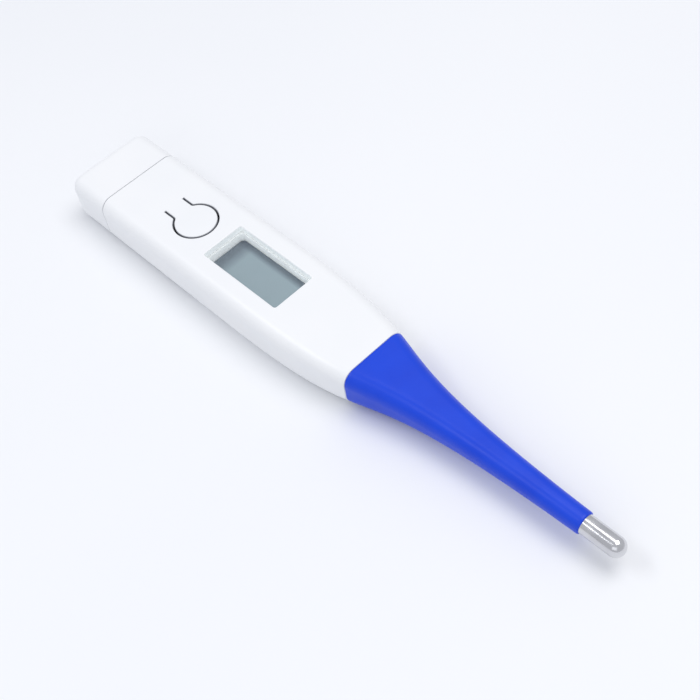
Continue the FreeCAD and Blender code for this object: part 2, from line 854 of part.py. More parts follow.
def make_dome():
    """Thin sprung metal dome of the switch, resting on the board."""
    radius = "(dome_radius ^ 2 + dome_height ^ 2) / (2 * dome_height)"
    caps = []
    for name, shrink in (("dome_outer", "0"), ("dome_inner", "dome_sheet")):
        cap = ball(name, "button_station", f"{radius} - {shrink}", f"{BOARD_TOP} + dome_height - ({radius})")
        latitude = f"asin((({radius}) - dome_height) / (({radius}) - {shrink}))"
        bind(cap, Angle1=latitude)
        cap.Angle2 = 90
        caps.append(cap)
    finish_node(cut("dome_sheet_metal", *caps), "switch_dome")


# ----------------------------------------------------------------- electronics


def make_chip():
    """Cured drop of resin over the chip, under the board."""
    drop = upright("chip_drop", "chip_station", "chip_radius", "board_bottom - chip_height", "chip_height")
    low = value("board_bottom - chip_height")
    rounded = round_edges(
        "chip_rounded", drop, "chip_round",
        lambda edge: isinstance(edge.Curve, Part.Circle) and edge.BoundBox.ZMax < low + 1e-6,
    )
    finish_node(rounded, "chip_potting")


def make_components():
    """A row of small surface-mounted parts beside the display."""
    count = int(value("component_count"))
    group = doc.addObject("Part::Compound", "component_row")
    group.Links = [
        block(
            f"component_{i}", "component_station", "component_length", "component_width",
            BOARD_TOP, "component_height", f"({i} - (component_count - 1) / 2) * component_pitch",
        )
        for i in range(count)
    ]
    finish_node(group, "board_components")


def make_buzzer():
    """Brass disc glued to the housing floor, its ceramic, and the contact coil."""
    disc = upright("brass_sheet", "buzzer_station", "buzzer_radius", "wall", "buzzer_sheet")
    finish_node(disc, "buzzer_disc")
    ceramic = upright(
        "ceramic_sheet", "buzzer_station", "ceramic_radius", "wall + buzzer_sheet", "buzzer_sheet"
    )
    finish_node(ceramic, "buzzer_ceramic")
    floor = "wall + 2 * buzzer_sheet"
    rise = f"board_bottom - ({floor}) - 2 * (coil_wire_radius + coil_gap)"
    coil = doc.addObject("Part::Helix", "coil_path")
    bind(coil, Height=rise, Pitch=f"({rise}) / coil_turns", Radius="coil_radius")
    coil.SegmentLength = 1.0
    bind(coil, x="buzzer_station", z=f"{floor} + coil_wire_radius + coil_gap")
    section = doc.addObject("Part::Circle", "coil_section")
    section.Placement = Placement(Vector(), Rotation(Vector(1, 0, 0), 90))
    bind(
        section, Radius="coil_wire_radius",
        x="buzzer_station + coil_radius", z=f"{floor} + coil_wire_radius + coil_gap",
    )
    spring = doc.addObject("Part::Sweep", "coil_sweep")
    spring.Sections = [section]
    spring.Spine = (coil, [])
    spring.Solid = True
    spring.Frenet = True
    finish_node(spring, "buzzer_spring")


def make_contact(label, points):
    """A bent strip: its side view drawn as an outline, then widened both ways."""
    body = new_body(f"{label}_body")
    side = new_sketch(body, f"{label}_side", "XZ_Plane")
    add_outline(side, points)
    pad(body, side, "contact_width", f"{label}_pad", both_ways=True)
    finish_node(body, label)


def make_contacts():
    arm = f"{MIDDLE} + battery_height / 2 + contact_gap"
    riser = "positive_riser"
    make_contact("battery_contact_positive", [
        ("contact_arm_start", arm), (riser, arm), (riser, BOARD_TOP),
        ("contact_leg_end", BOARD_TOP), ("contact_leg_end", f"{BOARD_TOP} + contact_sheet"),
        (f"{riser} + contact_sheet", f"{BOARD_TOP} + contact_sheet"),
        (f"{riser} + contact_sheet", f"{arm} + contact_sheet"),
        ("contact_arm_start", f"{arm} + contact_sheet"),
    ])
    arm = f"{MIDDLE} - battery_height / 2 - contact_gap"
    riser = "negative_riser"
    leg = "board_bottom - contact_sheet"
    make_contact("battery_contact_negative", [
        ("contact_arm_start", arm), (f"{riser} + contact_sheet", arm),
        (f"{riser} + contact_sheet", "board_bottom"), ("contact_leg_end", "board_bottom"),
        ("contact_leg_end", leg), (riser, leg), (riser, f"{arm} - contact_sheet"),
        ("contact_arm_start", f"{arm} - contact_sheet"),
    ])


# ------------------------------------------------------ stem, wires and sensor


def make_wires():
    """The sensor's two leads, from the board to the bead."""
    low = value(f"{BOARD_TOP} + wire_radius")
    middle = value(MIDDLE)
    leads = []
    for side in (1, -1):
        across = side * value("wire_offset")
        corners = [
            Vector(value("wire_start"), across, low),
            Vector(value("wire_rise_start"), across, low),
            Vector(value("wire_rise_end"), across, middle),
            Vector(value("wire_end"), across, middle),
        ]
        path = Part.makePolygon(corners)
        section = Part.Wire(Part.makeCircle(value("wire_radius"), corners[0], Vector(1, 0, 0)))
        leads.append(path.makePipeShell([section], True, False, 1))
    finish_node(shaped("lead_pair", Part.makeCompound(leads)), "lead_wires")


def hinge_station(index):
    return value("hinge_first") + index * value("hinge_pitch")


def is_sideways(index):
    return index % SIDEWAYS_EVERY == 0


def hinge_block(index, forward):
    """All the room on one side of a stem hinge, bounded by two faces that meet on its axis."""
    swing = value("sway_angle") if is_sideways(index) else value("bend_angle")
    lean = math.tan(math.radians((swing + value("bend_spare_angle")) / 2)) * REACH
    station, way = hinge_station(index), 1 if forward else -1
    far = station + way * (REACH + lean)
    outline = [(station, 0), (station + way * lean, REACH), (far, REACH),
               (far, -REACH), (station + way * lean, -REACH)]
    middle = value(MIDDLE)
    if is_sideways(index):
        points = [Vector(x, u, middle - REACH) for x, u in outline]
        depth = Vector(0, 0, 2 * REACH)
    else:
        points = [Vector(x, -REACH, middle + u) for x, u in outline]
        depth = Vector(0, 2 * REACH, 0)
    return Part.Face(Part.makePolygon(points + points[:1])).extrude(depth)


def knuckle(index, radius):
    """A round bar on a stem hinge's axis."""
    station, middle = hinge_station(index), value(MIDDLE)
    if is_sideways(index):
        start, axis = Vector(station, 0, middle - REACH), Vector(0, 0, 1)
    else:
        start, axis = Vector(station, -REACH, middle), Vector(0, 1, 0)
    return Part.makeCylinder(radius, 2 * REACH, start, axis)


def make_stem():
    """The moulded stem, parted into a root, short links and an end piece.

    Each piece ends in a rounded knuckle that turns in a hollow in the next one.
    """
    count = int(value("hinge_count"))
    start, end = value("housing_end + fit_gap"), value("stem_end_station")
    middle = value(MIDDLE)
    stem = tapered(start, end)
    nose_room = tapered(start - SPARE, value("nose_end + fit_gap"), value("nose_inset - nose_gap"))
    core = Part.makeCylinder(value("core_radius"), end, Vector(start, 0, middle), Vector(1, 0, 0))
    socket = Part.makeCylinder(
        value("cap_root_radius + cap_gap"), value("cap_root_length") + SPARE,
        Vector(end - value("cap_root_length + cap_gap"), 0, middle), Vector(1, 0, 0),
    )
    stem = stem.cut(nose_room).cut(core).cut(socket)
    ball_radius = value("knuckle_radius")
    hollow_radius = value("knuckle_radius + knuckle_gap")
    for index in range(count + 1):
        piece = stem
        if index > 0:
            piece = piece.common(hinge_block(index - 1, True)).cut(knuckle(index - 1, hollow_radius))
        if index < count:
            piece = piece.common(hinge_block(index, False).fuse(knuckle(index, ball_radius)))
        solids = sorted(piece.Solids, key=lambda solid: solid.Volume)
        if index == 0:
            label = "stem_root"
        elif index == count:
            label = "stem_end"
        else:
            label = f"stem_link_{index}"
        finish_node(shaped(f"{label}_form", solids[-1]), label)


def make_sensor():
    """Steel cap on the stem's end, the bead inside it and the resin around the bead."""
    exposed = "overall_length - stem_end_station - cap_radius"
    rounding = "overall_length - cap_radius"
    root = lengthwise("cap_root", "stem_end_station - cap_root_length", "cap_root_radius", "cap_root_length")
    barrel = lengthwise("cap_barrel", "stem_end_station", "cap_radius", exposed)
    nose = ball("cap_nose", rounding, "cap_radius")
    bore = lengthwise(
        "cap_bore", "stem_end_station - cap_root_length", "cap_bore_radius",
        f"cap_root_length + {exposed}",
    )
    bore_end = ball("cap_bore_end", rounding, "cap_bore_radius")
    outside = fuse("cap_outside", [root, barrel, nose])
    finish_node(cut("cap_shell", outside, fuse("cap_inside", [bore, bore_end])), "sensor_cap")
    finish_node(ball("bead", "bead_station", "bead_radius"), "thermistor")
    fill = lengthwise(
        "fill_barrel", "potting_start", "cap_bore_radius - potting_gap", f"{rounding} - potting_start"
    )
    fill_end = ball("fill_end", rounding, "cap_bore_radius - potting_gap")
    room = [ball("bead_room", "bead_station", "bead_radius + potting_gap")]
    for side, name in ((1, "left"), (-1, "right")):
        room.append(
            lengthwise(
                f"wire_room_{name}", f"potting_start - {SPARE}", "wire_radius + potting_gap",
                f"bead_station - potting_start + {SPARE}", f"{side} * wire_offset",
            )
        )
    resin = cut("resin_fill", fuse("resin_outside", [fill, fill_end]), fuse("resin_room", room))
    finish_node(resin, "sensor_potting")


# ---------------------------------------------------------------------- output


def check_document():
    """Stop if any object failed, or any sub-part is empty or invalid."""
    doc.recompute()
    for item in doc.Objects:
        if {"Invalid", "Error"} & set(item.State):
            raise RuntimeError(f"{item.Name} is {item.State}")
    for node in NODES:
        if node.Shape.isNull() or not node.Shape.isValid() or node.Shape.Volume <= 0:
            raise RuntimeError(f"{node.Label} has no valid solid")


def write_parts():
    os.makedirs("parts", exist_ok=True)
    for node in NODES:
        node.Shape.exportStep(f"parts/{node.Label}.step")


make_housing()
make_lens()
make_cover()
make_cover_seal()
make_tray()
make_battery()
make_frame()
make_board()
make_display()
make_button()
make_button_seal()
make_plunger()
make_dome()
make_chip()
make_components()
make_buzzer()
make_contacts()
make_wires()
make_stem()
make_sensor()
check_document()
write_parts()
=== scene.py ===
"""Looks of a digital thermometer with a flexible tip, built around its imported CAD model.

Lengths are metres in the CAD's frame: +X runs along the stick to the metal tip, +Z points out of the
display, and the stick lies on z = 0. The sizes named ahead of the stem, the leads, the button and the
cover's seal are millimetres, and so is a station, which is a distance from the head end.
"""

import json
import math

import bmesh
import bpy
from mathutils import Matrix, Vector


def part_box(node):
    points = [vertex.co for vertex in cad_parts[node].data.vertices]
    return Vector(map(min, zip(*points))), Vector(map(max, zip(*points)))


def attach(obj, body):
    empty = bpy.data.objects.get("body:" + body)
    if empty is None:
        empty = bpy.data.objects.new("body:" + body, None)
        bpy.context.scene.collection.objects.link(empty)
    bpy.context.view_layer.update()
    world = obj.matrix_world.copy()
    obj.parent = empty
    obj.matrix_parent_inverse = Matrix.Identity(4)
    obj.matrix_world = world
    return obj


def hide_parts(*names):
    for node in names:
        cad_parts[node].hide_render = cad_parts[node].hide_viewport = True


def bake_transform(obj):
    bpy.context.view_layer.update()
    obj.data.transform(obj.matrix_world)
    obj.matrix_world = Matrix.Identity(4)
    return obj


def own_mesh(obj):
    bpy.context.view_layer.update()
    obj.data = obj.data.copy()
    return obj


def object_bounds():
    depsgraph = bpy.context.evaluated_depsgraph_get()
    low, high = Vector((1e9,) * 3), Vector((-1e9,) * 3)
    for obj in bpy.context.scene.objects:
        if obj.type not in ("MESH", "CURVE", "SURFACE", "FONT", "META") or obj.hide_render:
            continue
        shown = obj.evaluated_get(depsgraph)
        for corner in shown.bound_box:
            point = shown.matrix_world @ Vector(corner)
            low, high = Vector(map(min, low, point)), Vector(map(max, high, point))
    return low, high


MM = 0.001
CHAIN = ["stick"] + [f"link_{i}" for i in range(1, 9)] + ["tip"]

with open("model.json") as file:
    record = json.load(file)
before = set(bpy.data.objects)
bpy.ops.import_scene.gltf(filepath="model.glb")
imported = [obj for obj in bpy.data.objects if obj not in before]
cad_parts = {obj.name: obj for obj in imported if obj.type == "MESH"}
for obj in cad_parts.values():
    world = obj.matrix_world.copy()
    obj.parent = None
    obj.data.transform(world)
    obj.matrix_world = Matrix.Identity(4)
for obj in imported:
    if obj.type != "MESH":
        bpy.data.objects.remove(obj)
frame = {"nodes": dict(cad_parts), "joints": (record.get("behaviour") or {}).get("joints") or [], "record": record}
cad_low, cad_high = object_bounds()
HEAD_X = cad_low.x
MIDDLE_Z = (cad_low.z + cad_high.z) / 2


def x_at(station):
    """The frame's x, in metres, at a station in millimetres."""
    return HEAD_X + station * MM


def station_at(x):
    """The station, in millimetres, at the frame's x."""
    return (x - HEAD_X) / MM


# ------------------------------------------------------------------- materials

LAST_SLOT = 37.0  # station between the press tab and the window
# Colour of the painted glow on the walls round the window.
WINDOW_GLOW = (0.95, 0.97, 0.965)
MIX_FIRST, MIX_SECOND, MIX_RESULT = 6, 7, 2  # colour sockets of a Mix node
NOISE_RANGE = (0.3, 0.7)  # where nearly all of a noise's values lie
PATCH_RANGE = (0.35, 0.7)  # noise values where a patch starts, and where it has its full colour


class Paint:
    """One node material, with short calls for the nodes that the finishes share."""

    def __init__(self, name, colour, roughness, metallic=0.0):
        self.material = bpy.data.materials.new(name)
        self.material.use_nodes = True
        self.tree = self.material.node_tree
        self.shader = self.tree.nodes["Principled BSDF"]
        self.output = self.tree.nodes["Material Output"]
        self.colour = (*colour, 1.0)
        self.normal = None
        self.set("Base Color", self.colour)
        self.set("Roughness", roughness)
        self.set("Metallic", metallic)

    def set(self, socket, number):
        self.shader.inputs[socket].default_value = number

    def node(self, kind, **fields):
        item = self.tree.nodes.new(kind)
        for key, number in fields.items():
            setattr(item, key, number)
        return item

    def feed(self, item, socket, source):
        """Give a node's input either a number or another node's output."""
        if isinstance(source, bpy.types.NodeSocket):
            self.tree.links.new(source, item.inputs[socket])
        else:
            item.inputs[socket].default_value = source

    def place(self, stretch=(1, 1, 1)):
        """Position on the object in metres, scaled along each axis."""
        coordinates = self.node("ShaderNodeTexCoord")
        mapping = self.node("ShaderNodeMapping")
        self.feed(mapping, "Vector", coordinates.outputs["Object"])
        self.feed(mapping, "Scale", stretch)
        return mapping.outputs["Vector"]

    def axis(self, letter):
        """One coordinate of the position, in metres."""
        split = self.node("ShaderNodeSeparateXYZ")
        self.feed(split, "Vector", self.place())
        return split.outputs[letter]

    def noise(self, size, detail=2.0, stretch=(1, 1, 1)):
        """Soft noise whose blotches are about `size` millimetres across."""
        item = self.node("ShaderNodeTexNoise")
        self.feed(item, "Vector", self.place(stretch))
        self.feed(item, "Scale", 1 / (size * MM))
        self.feed(item, "Detail", detail)
        return item.outputs["Fac"]

    def bands(self, direction, scale, distortion=0.0):
        """Soft stripes that follow each other along an axis, 0.314 / scale metres apart."""
        item = self.node("ShaderNodeTexWave", bands_direction=direction)
        self.feed(item, "Vector", self.place())
        self.feed(item, "Scale", scale)
        self.feed(item, "Distortion", distortion)
        return item.outputs["Fac"]

    def spread(self, source, low, high, start=0.0, end=1.0):
        """Map a value from start..end to low..high, held at both ends."""
        item = self.node("ShaderNodeMapRange")
        self.feed(item, "Value", source)
        self.feed(item, "From Min", start)
        self.feed(item, "From Max", end)
        self.feed(item, "To Min", low)
        self.feed(item, "To Max", high)
        return item.outputs["Result"]

    def product(self, first, second):
        item = self.node("ShaderNodeMath", operation="MULTIPLY")
        self.feed(item, 0, first)
        self.feed(item, 1, second)
        return item.outputs["Value"]

    def tint(self, share, colour):
        """Blend the colour so far towards another one by a share."""
        item = self.node("ShaderNodeMix", data_type="RGBA")
        self.feed(item, "Factor", share)
        self.feed(item, MIX_FIRST, self.colour)
        self.feed(item, MIX_SECOND, (*colour, 1.0))
        self.colour = item.outputs[MIX_RESULT]
        self.feed(self.shader, "Base Color", self.colour)

    def mottle(self, size, colour):
        """Uneven colour: patches of another shade."""
        self.tint(self.spread(self.noise(size), 0.0, 1.0, *PATCH_RANGE), colour)

    def shine(self, size, low, high):
        """Roughness that wanders between two values."""
        wander = self.spread(self.noise(size, 1.0), low, high, *NOISE_RANGE)
        self.feed(self.shader, "Roughness", wander)

    def relief(self, source, depth):
        """Bump of a given depth in millimetres, laid over any bump so far."""
        item = self.node("ShaderNodeBump")
        self.feed(item, "Height", source)
        self.feed(item, "Distance", depth * MM)
        if self.normal is not None:
            self.feed(item, "Normal", self.normal)
        self.normal = item.outputs["Normal"]
        self.feed(self.shader, "Normal", self.normal)

    def glow_through(self, share, reach):
        """Light that spreads inside the material, as far as `reach` millimetres."""
        self.set("Subsurface Weight", share)
        self.set("Subsurface Radius", (1.0, 1.0, 1.0))
        self.set("Subsurface Scale", reach * MM)

    def painted_window_glow(self, strength):
        """Painted glow: emission on the walls round the clear window and under it, in place of the light that the
        window carries down to them.
        """
        low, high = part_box("window_lens")
        edge, fade = 0.15 * MM, 0.3 * MM
        total = self.spread(self.axis("Z"), strength, 0.0, cad_high.z - fade, cad_high.z)
        for letter, first, last in (("X", low.x, high.x), ("Y", low.y, high.y)):
            place = self.axis(letter)
            after = self.spread(place, 0.0, 1.0, first - 2 * edge, first - edge)
            before = self.spread(place, 1.0, 0.0, last + edge, last + 2 * edge)
            total = self.product(total, self.product(after, before))
        self.set("Emission Color", (*WINDOW_GLOW, 1.0))
        self.feed(self.shader, "Emission Strength", total)

    def painted_shade(self, reach, colour, last_station):
        """Painted shade: darker colour down in slots and corners, where little open air reaches, up to a station.
        """
        shut, open_air, fade = 0.25, 0.9, 0.5
        item = self.node("ShaderNodeAmbientOcclusion", samples=4)
        self.feed(item, "Distance", reach * MM)
        depth = self.spread(item.outputs["AO"], 1.0, 0.0, shut, open_air)
        along = self.spread(self.axis("X"), 1.0, 0.0, x_at(last_station), x_at(last_station + fade))
        self.tint(self.product(depth, along), colour)


def moulded(name, colour, shade, roughness, grain=0.5, depth=0.004):
    """Moulded plastic: faint flow marks, uneven gloss and a fine skin."""
    paint = Paint(name, colour, roughness)
    paint.mottle(14.0, shade)
    paint.shine(6.0, roughness * 0.88, roughness * 1.15)
    paint.relief(paint.noise(grain), depth)
    paint.relief(paint.noise(9.0), depth * 4)
    return paint


def white_plastic():
    paint = moulded("white_plastic", (0.86, 0.865, 0.875), (0.84, 0.85, 0.865), 0.33, 2.4, 0.001)
    # Painted shade down in the slots and corners, up to LAST_SLOT.
    paint.painted_shade(0.9, (0.25, 0.26, 0.3), LAST_SLOT)
    # Painted glow on the walls round the window.
    paint.painted_window_glow(0.22)
    return paint


def inner_plastic():
    paint = moulded("inner_plastic", (0.93, 0.95, 0.945), (0.9, 0.925, 0.92), 0.5, 1.6, 0.002)
    paint.glow_through(1.0, 1.2)
    # Painted glow on the walls round the window and under it.
    paint.painted_window_glow(0.16)
    return paint


def plunger_plastic():
    return moulded("plunger_plastic", (0.6, 0.61, 0.64), (0.52, 0.54, 0.58), 0.45)


def stem_rubber():
    paint = Paint("stem_rubber", (0.004, 0.056, 0.66), 0.33)
    paint.mottle(6.0, (0.004, 0.05, 0.62))
    paint.shine(7.0, 0.31, 0.36)
    paint.relief(paint.noise(0.16, 3.0), 0.003)
    paint.set("Specular IOR Level", 0.32)
    return paint


def seal_rubber():
    paint = Paint("seal_rubber", (0.035, 0.035, 0.04), 0.6)
    paint.mottle(2.0, (0.06, 0.06, 0.065))
    paint.shine(1.0, 0.5, 0.75)
    paint.relief(paint.noise(0.12, 3.0), 0.01)
    return paint


def contact_rubber():
    """Silicone strip with fine conductive layers across it."""
    paint = Paint("contact_rubber", (0.62, 0.34, 0.33), 0.5)
    layers = paint.bands("X", 1200.0)
    paint.tint(paint.spread(layers, 0.0, 1.0, 0.5, 0.6), (0.03, 0.03, 0.035))
    paint.shine(1.0, 0.42, 0.58)
    paint.relief(layers, 0.01)
    return paint


def foam():
    """Dark foam: small pits between paler walls."""
    cells_per_metre = 4500.0
    paint = Paint("foam", (0.07, 0.07, 0.08), 0.95)
    cells = paint.node("ShaderNodeTexVoronoi")
    paint.feed(cells, "Vector", paint.place())
    paint.feed(cells, "Scale", cells_per_metre)
    paint.tint(paint.spread(cells.outputs["Distance"], 0.0, 1.0, 0.2, 0.7), (0.13, 0.13, 0.14))
    paint.shine(0.5, 0.88, 1.0)
    paint.relief(cells.outputs["Distance"], 0.08)
    return paint


def black_resin():
    paint = Paint("black_resin", (0.012, 0.012, 0.014), 0.2)
    paint.mottle(1.5, (0.02, 0.02, 0.022))
    paint.shine(1.2, 0.12, 0.35)
    paint.relief(paint.noise(0.8), 0.03)
    return paint


def wire_insulation():
    paint = Paint("wire_insulation", (0.5, 0.09, 0.05), 0.35)
    paint.mottle(3.0, (0.4, 0.06, 0.035))
    paint.shine(1.5, 0.31, 0.42)
    paint.relief(paint.noise(0.3), 0.01)
    return paint


def board_laminate():
    """Green solder mask over tracks that run along and across the board."""
    paint = Paint("board_laminate", (0.01, 0.085, 0.035), 0.35)
    for direction, scale in (("X", 105.0), ("Y", 150.0)):
        tracks = paint.spread(paint.bands(direction, scale, 1.5), 0.0, 1.0, 0.78, 0.84)
        paint.tint(tracks, (0.02, 0.17, 0.07))
        paint.relief(tracks, 0.02)
    paint.shine(3.0, 0.31, 0.42)
    paint.relief(paint.noise(0.4), 0.01)
    return paint


def ceramic(name, colour, shade):
    paint = Paint(name, colour, 0.5)
    paint.mottle(0.8, shade)
    paint.shine(0.6, 0.4, 0.65)
    paint.relief(paint.noise(0.15, 4.0), 0.01)
    return paint


def metal(name, colour, roughness, stretch, size=0.15, depth=0.003):
    """Metal with fine tool marks, drawn out where `stretch` is small."""
    paint = Paint(name, colour, roughness, 1.0)
    marks = paint.noise(size, 4.0, stretch)
    wander = paint.spread(marks, roughness * 0.6, roughness * 1.5, *NOISE_RANGE)
    paint.feed(paint.shader, "Roughness", wander)
    paint.relief(marks, depth)
    paint.mottle(4.0, tuple(part * 0.88 for part in colour))
    return paint


def display_film():
    """Blank reflective display: grey-green, in shade along the head and far edges of its opening."""
    paint = Paint("display_film", (0.28, 0.345, 0.378), 0.42)
    low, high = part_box("window_lens")
    shade = 0.8
    head_fade = (low.x + 1.8 * MM, low.x + 4.4 * MM)
    far_fade = (high.y - 2.1 * MM, high.y - 0.9 * MM)
    head = paint.spread(paint.axis("X"), shade, 0.0, *head_fade)
    far = paint.spread(paint.axis("Y"), 0.0, shade, *far_fade)
    paint.mottle(3.0, (0.272, 0.337, 0.37))
    paint.tint(head, (0.1, 0.122, 0.155))
    paint.tint(far, (0.09, 0.112, 0.145))
    paint.shine(6.0, 0.39, 0.45)
    paint.relief(paint.noise(0.08, 3.0), 0.002)
    paint.set("Coat Weight", 0.3)
    paint.set("Coat Roughness", 0.2)
    return paint


def clear(name, colour, haze, reflection):
    """Clear sheet: lets light straight through, and its upper face mirrors a little at a slant."""
    paint = Paint(name, colour, haze)
    through = paint.node("ShaderNodeBsdfTransparent")
    mirror = paint.node("ShaderNodeBsdfGlossy")
    slant = paint.node("ShaderNodeFresnel")
    side = paint.node("ShaderNodeNewGeometry")
    facing = paint.node("ShaderNodeSeparateXYZ")
    join = paint.node("ShaderNodeMixShader")
    wander = paint.spread(paint.noise(6.0), haze * 0.6, haze * 1.4, *NOISE_RANGE)
    paint.feed(through, "Color", (*colour, 1.0))
    paint.feed(mirror, "Roughness", wander)
    paint.feed(slant, "IOR", 1.45)
    paint.feed(facing, "Vector", side.outputs["Normal"])
    upper = paint.spread(facing.outputs["Z"], 0.0, reflection, 0.4, 0.6)
    outside = paint.product(upper, paint.spread(side.outputs["Backfacing"], 1.0, 0.0))
    paint.feed(join, "Fac", paint.product(slant.outputs["Fac"], outside))
    paint.feed(join, 1, through.outputs["BSDF"])
    paint.feed(join, 2, mirror.outputs["BSDF"])
    paint.feed(paint.output, "Surface", join.outputs["Shader"])
    return paint


PAINTS = {
    "white_plastic": white_plastic,
    "inner_plastic": inner_plastic,
    "plunger_plastic": plunger_plastic,
    "stem_rubber": stem_rubber,
    "seal_rubber": seal_rubber,
    "contact_rubber": contact_rubber,
    "foam": foam,
    "black_resin": black_resin,
    "wire_insulation": wire_insulation,
    "board_laminate": board_laminate,
    "display_film": display_film,
    "clear_plastic": lambda: clear("clear_plastic", (0.985, 0.995, 0.995), 0.05, 0.8),
    "display_glass": lambda: clear("display_glass", (0.80, 0.88, 0.87), 0.03, 1.0),
    "component_ceramic": lambda: ceramic("component_ceramic", (0.28, 0.2, 0.14), (0.36, 0.27, 0.2)),
    "buzzer_ceramic": lambda: ceramic("buzzer_ceramic", (0.72, 0.7, 0.63), (0.6, 0.58, 0.52)),
    "bead_ceramic": lambda: ceramic("bead_ceramic", (0.05, 0.035, 0.03), (0.08, 0.06, 0.05)),
    "sprung_steel": lambda: metal("sprung_steel", (0.62, 0.62, 0.64), 0.25, (0.1, 1, 1)),
    "brass": lambda: metal("brass", (0.72, 0.5, 0.2), 0.28, (0.1, 1, 1)),
    "cell_steel": lambda: metal("cell_steel", (0.68, 0.67, 0.66), 0.24, (1, 1, 0.2)),
    "polished_steel": lambda: metal("polished_steel", (0.7, 0.7, 0.72), 0.17, (0.3, 1, 1), 0.5, 0.0008),
}

# ---------------------------------------------------------------- mesh helpers

CREASE = math.radians(38.0)  # faces that meet at more than this have a sharp edge between them
SAME_POINT = 1e-8  # vertices closer than this, in metres, are one
ROUND_STEPS = 64


def finish_mesh(name, mesh, slot):
    """Turn a bmesh into a smooth object with sharp edges where its faces meet at a corner."""
    bmesh.ops.remove_doubles(mesh, verts=mesh.verts, dist=SAME_POINT)
    bmesh.ops.recalc_face_normals(mesh, faces=mesh.faces)
    for face in mesh.faces:
        face.smooth = True
    for edge in mesh.edges:
        edge.smooth = edge.calc_face_angle(0.0) < CREASE
    data = bpy.data.meshes.new(name)
    mesh.to_mesh(data)
    mesh.free()
    piece = bpy.data.objects.new(name, data)
    bpy.context.scene.collection.objects.link(piece)
    data.materials.append(materials[slot])
    return piece


def vertex_rows(mesh, rings):
    return [[mesh.verts.new(point) for point in ring] for ring in rings]


def join_rows(mesh, near, far):
    """Quads between two rings of equally many vertices."""
    for i in range(len(near)):
        j = (i + 1) % len(near)
        mesh.faces.new((near[i], near[j], far[j], far[i]))


def bridge(mesh, rings, closed=False):
    """A skin over rings of points, with flat ends unless the last ring meets the first."""
    rows = vertex_rows(mesh, rings)
    if closed:
        join_rows(mesh, rows[-1], rows[0])
    else:
        mesh.faces.new(rows[0])
        mesh.faces.new(rows[-1])
    for near, far in zip(rows, rows[1:]):
        join_rows(mesh, near, far)


def full_turn(steps):
    """Angles at equal steps round a circle."""
    return [2 * math.pi * i / steps for i in range(steps)]


def corner_arc(radius, steps):
    """Distances from the two sides of a square corner, along an arc that rounds it."""
    angles = [math.pi / 2 * i / steps for i in range(steps + 1)]
    return [(radius * (1 - math.cos(angle)), radius * (1 - math.sin(angle))) for angle in angles]


def wire_ring(middle, first, second, radius, sides):
    """Points round a wire, in the plane of two directions that are square to it and to each other."""
    ring = []
    for angle in full_turn(sides):
        ring.append(middle + (first * math.cos(angle) + second * math.sin(angle)) * radius)
    return ring


def revolved(name, slot, centre, profile):
    """A closed profile of (radius, height) pairs turned about an upright axis."""
    mesh = bmesh.new()
    rings = []
    for angle in full_turn(ROUND_STEPS):
        outward = Vector((math.cos(angle), math.sin(angle), 0))
        rings.append([centre + outward * radius + Vector((0, 0, height)) for radius, height in profile])
    bridge(mesh, rings, closed=True)
    return finish_mesh(name, mesh, slot)


def rounded_outline(half_long, half_short, radius, arc_steps=8, side_steps=6):
    """Points round a rectangle with round corners, anticlockwise from the middle of its right side."""
    corner = corner_arc(radius, arc_steps)
    quarter = [(half_long, (half_short - radius) * i / side_steps) for i in range(side_steps)]
    quarter += [(half_long - from_right, half_short - from_top) for from_right, from_top in corner]
    quarter += [((half_long - radius) * (1 - i / side_steps), half_short) for i in range(1, side_steps)]
    left = [(-across, up) for across, up in [(0.0, half_short)] + quarter[:0:-1]]
    top = quarter + left
    return top + [(-across, -up) for across, up in top]


def cushion(name, slot, node, radius, edge, swell):
    """A soft block in a CAD node's box: flat top and bottom, round edges and full sides."""
    low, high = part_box(node)
    centre, half = (low + high) / 2, (high - low) / 2
    edge_steps, side_steps = 6, 8
    under = [(inset, lift - half.z) for lift, inset in corner_arc(edge, edge_steps)]
    side = []
    for i in range(1, side_steps):
        share = i / side_steps
        side.append((-swell * math.sin(math.pi * share), (half.z - edge) * (2 * share - 1)))
    over = [(inset, -height) for inset, height in reversed(under)]
    mesh = bmesh.new()
    rings = []
    for inset, height in under + side + over:
        outline = rounded_outline(half.x - inset, half.y - inset, radius - inset)
        rings.append([centre + Vector((across, up, height)) for across, up in outline])
    bridge(mesh, rings)
    return finish_mesh(name, mesh, slot)


# ------------------------------------------------------------------- soft stem

# The outer form, as in the CAD: half width and half height against the station, and the corner radius
# as a share of the half height, at the start of the taper and at the stem's end.
TAPER_START, STEM_END = 50.0, 130.0
WIDTH_CURVE = ((TAPER_START, 10.0), (96.0, 10.0), (71.0, 3.35), (STEM_END, 2.15))
HEIGHT_CURVE = ((TAPER_START, 5.3), (90.0, 5.3), (83.0, 2.7), (STEM_END, 2.15))
CORNER_SHARES = (0.53, 0.95)
LEAST_CORNER = 0.3
# The hollow: first it fits the housing's nose, then it's a round bore that widens for the metal cap.
STEM_START, NOSE_END, NOSE_INSET = 81.05, 89.05, 1.57
BORE, CAP_ROOT, CAP_ROOT_START = 0.8, 1.71, 126.59
# The mesh: how far apart its rings are, and how its two ends are rounded.
RING_PITCH = 0.3
EDGE_ROUND, TIP_ROUND, END_STEPS = 0.22, 0.35, 4


def curve_at(curve, station):
    """Height of a cubic Bezier curve where it passes a station, found by halving."""
    halvings = 40
    low, high = 0.0, 1.0
    for _ in range(halvings):
        share = (low + high) / 2
        rest = 1 - share
        weights = (rest**3, 3 * rest**2 * share, 3 * rest * share**2, share**3)
        reached, height = (sum(w * point[k] for w, point in zip(weights, curve)) for k in (0, 1))
        if reached < station:
            low = share
        else:
            high = share
    return height


